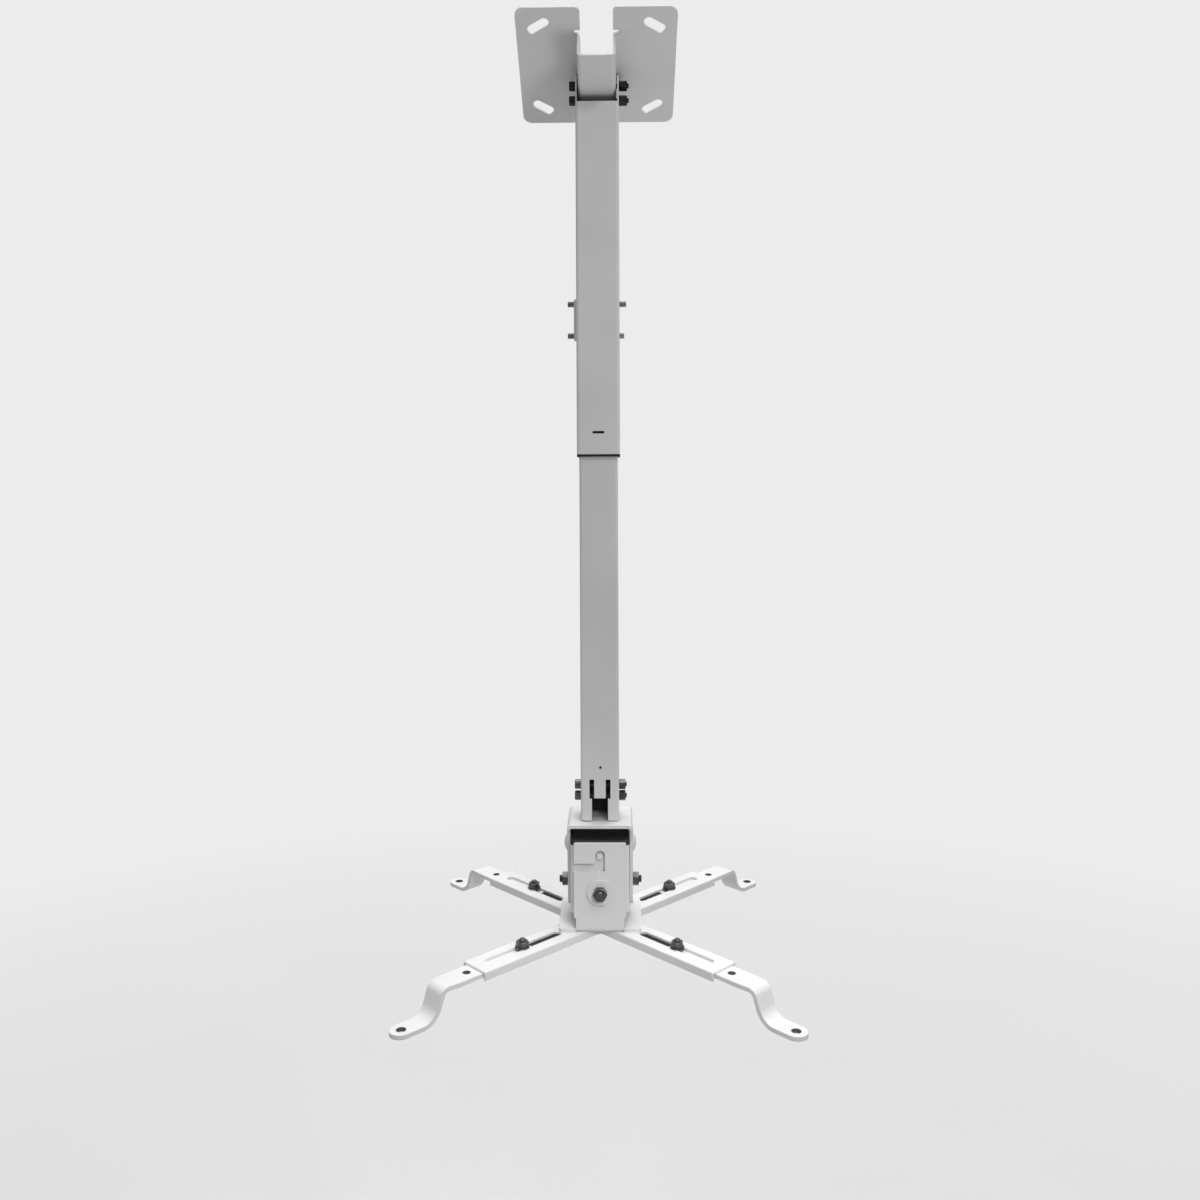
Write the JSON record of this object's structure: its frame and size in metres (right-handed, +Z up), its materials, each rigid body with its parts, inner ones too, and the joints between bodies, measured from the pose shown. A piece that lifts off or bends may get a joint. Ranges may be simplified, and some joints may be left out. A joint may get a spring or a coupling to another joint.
{
  "type": "projector ceiling mount",
  "caption": "White ceiling mount with a tilting slotted plate, a telescoping square mast, a tilt head and sliding legs on a cross-shaped cradle.",
  "frame": {"origin": "centre of the ceiling plate's upper face", "axes": "+Z up along the mast, the mast hangs along -Z, the front with the open side of the plate's slope faces -Y, +X to the right"},
  "size_m": [0.235, 0.235, 0.6055],
  "materials": {
    "coated_steel": "satin white powder coat",
    "black_plastic": "matte moulded",
    "zinc_fastener": "dull zinc plate"
  },
  "bodies": {
    "ceiling": {"ceiling_bracket": "coated_steel"},
    "mast_outer": {"outer_tube": "coated_steel", "ceiling_bolts": "zinc_fastener", "ceiling_nuts": "zinc_fastener", "tube_liner": "black_plastic", "clamp_nut_plate": "coated_steel", "clamp_screws": "zinc_fastener"},
    "mast_inner": {"inner_tube": "coated_steel", "tube_socket": "coated_steel", "socket_bolts": "zinc_fastener", "socket_nuts": "zinc_fastener", "yoke": "coated_steel", "pitch_lock_bolts": "zinc_fastener", "pitch_lock_washers": "zinc_fastener", "pitch_lock_nuts": "zinc_fastener"},
    "tilt_box": {"rocker": "coated_steel", "rocker_plug": "black_plastic", "pitch_rivets": "zinc_fastener", "roll_pins": "zinc_fastener", "roll_lock_bolts": "zinc_fastener", "roll_lock_washers": "zinc_fastener", "roll_lock_nuts": "zinc_fastener"},
    "cradle": {"hanger": "coated_steel", "hub_rivets": "zinc_fastener", "spider": "coated_steel"},
    "leg_front_left": {"leg_front_left": "coated_steel", "leg_glide_front_left": "black_plastic", "leg_bolt_front_left": "zinc_fastener", "leg_washer_front_left": "zinc_fastener", "leg_nut_front_left": "zinc_fastener"},
    "leg_front_right": {"leg_front_right": "coated_steel", "leg_glide_front_right": "black_plastic", "leg_bolt_front_right": "zinc_fastener", "leg_washer_front_right": "zinc_fastener", "leg_nut_front_right": "zinc_fastener"},
    "leg_rear_right": {"leg_rear_right": "coated_steel", "leg_glide_rear_right": "black_plastic", "leg_bolt_rear_right": "zinc_fastener", "leg_washer_rear_right": "zinc_fastener", "leg_nut_rear_right": "zinc_fastener"},
    "leg_rear_left": {"leg_rear_left": "coated_steel", "leg_glide_rear_left": "black_plastic", "leg_bolt_rear_left": "zinc_fastener", "leg_washer_rear_left": "zinc_fastener", "leg_nut_rear_left": "zinc_fastener"}
  },
  "joints": [
    {"name": "ceiling_tilt", "type": "hinge", "parent": "ceiling", "child": "mast_outer", "pos_m": [0, 0, -0.0131], "axis": [1, 0, 0], "range_deg": [-33.5, 2.5]},
    {"name": "height_slide", "type": "slide", "parent": "mast_outer", "child": "mast_inner", "axis": [0, 0, 1], "range_m": [-0.022, 0.082]},
    {"name": "pitch_tilt", "type": "hinge", "parent": "mast_inner", "child": "tilt_box", "pos_m": [0, 0, -0.511], "axis": [1, 0, 0], "range_deg": [-12, 12]},
    {"name": "roll_tilt", "type": "hinge", "parent": "tilt_box", "child": "cradle", "pos_m": [0, 0, -0.5123], "axis": [0, 1, 0], "range_deg": [-8, 8]},
    {"name": "leg_slide_front_left", "type": "slide", "parent": "cradle", "child": "leg_front_left", "axis": [-0.7071, -0.7071, 0], "range_m": [-0.024, 0.0255]},
    {"name": "leg_slide_front_right", "type": "slide", "parent": "cradle", "child": "leg_front_right", "axis": [0.7071, -0.7071, 0], "range_m": [-0.024, 0.0255]},
    {"name": "leg_slide_rear_right", "type": "slide", "parent": "cradle", "child": "leg_rear_right", "axis": [0.7071, 0.7071, 0], "range_m": [-0.024, 0.0255]},
    {"name": "leg_slide_rear_left", "type": "slide", "parent": "cradle", "child": "leg_rear_left", "axis": [-0.7071, 0.7071, 0], "range_m": [-0.024, 0.0255]}
  ]
}
